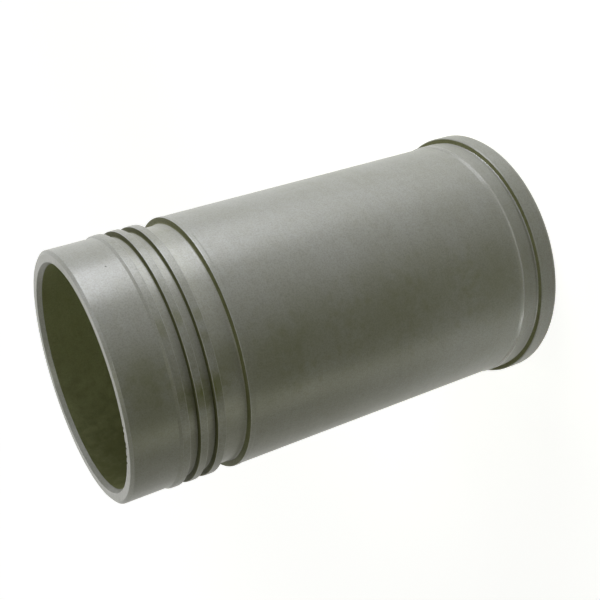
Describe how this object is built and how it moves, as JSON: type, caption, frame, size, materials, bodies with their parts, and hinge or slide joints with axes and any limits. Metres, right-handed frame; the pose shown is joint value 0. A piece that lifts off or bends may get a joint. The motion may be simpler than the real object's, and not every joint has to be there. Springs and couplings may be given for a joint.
{
  "type": "cylinder liner",
  "caption": "Wet cylinder liner: flanged cast-iron sleeve with honed bore, upper pilot, lower seal grooves and stepped skirt; hangs in an engine block and guides the piston.",
  "frame": {"origin": "centre of the flange's gasket face, on the bore axis, at the bottom of the liner as it stands", "axes": "+Z along the bore axis from the flange to the skirt end; X and Y are any two directions square to it, because the part is fully round"},
  "size_m": [0.1684, 0.1684, 0.2965],
  "materials": {
    "liner_iron": "matte grey machined and phosphated iron, ground seal lands, honed bore"
  },
  "bodies": {
    "root": {"cylinder_liner": "liner_iron"}
  },
  "joints": []
}
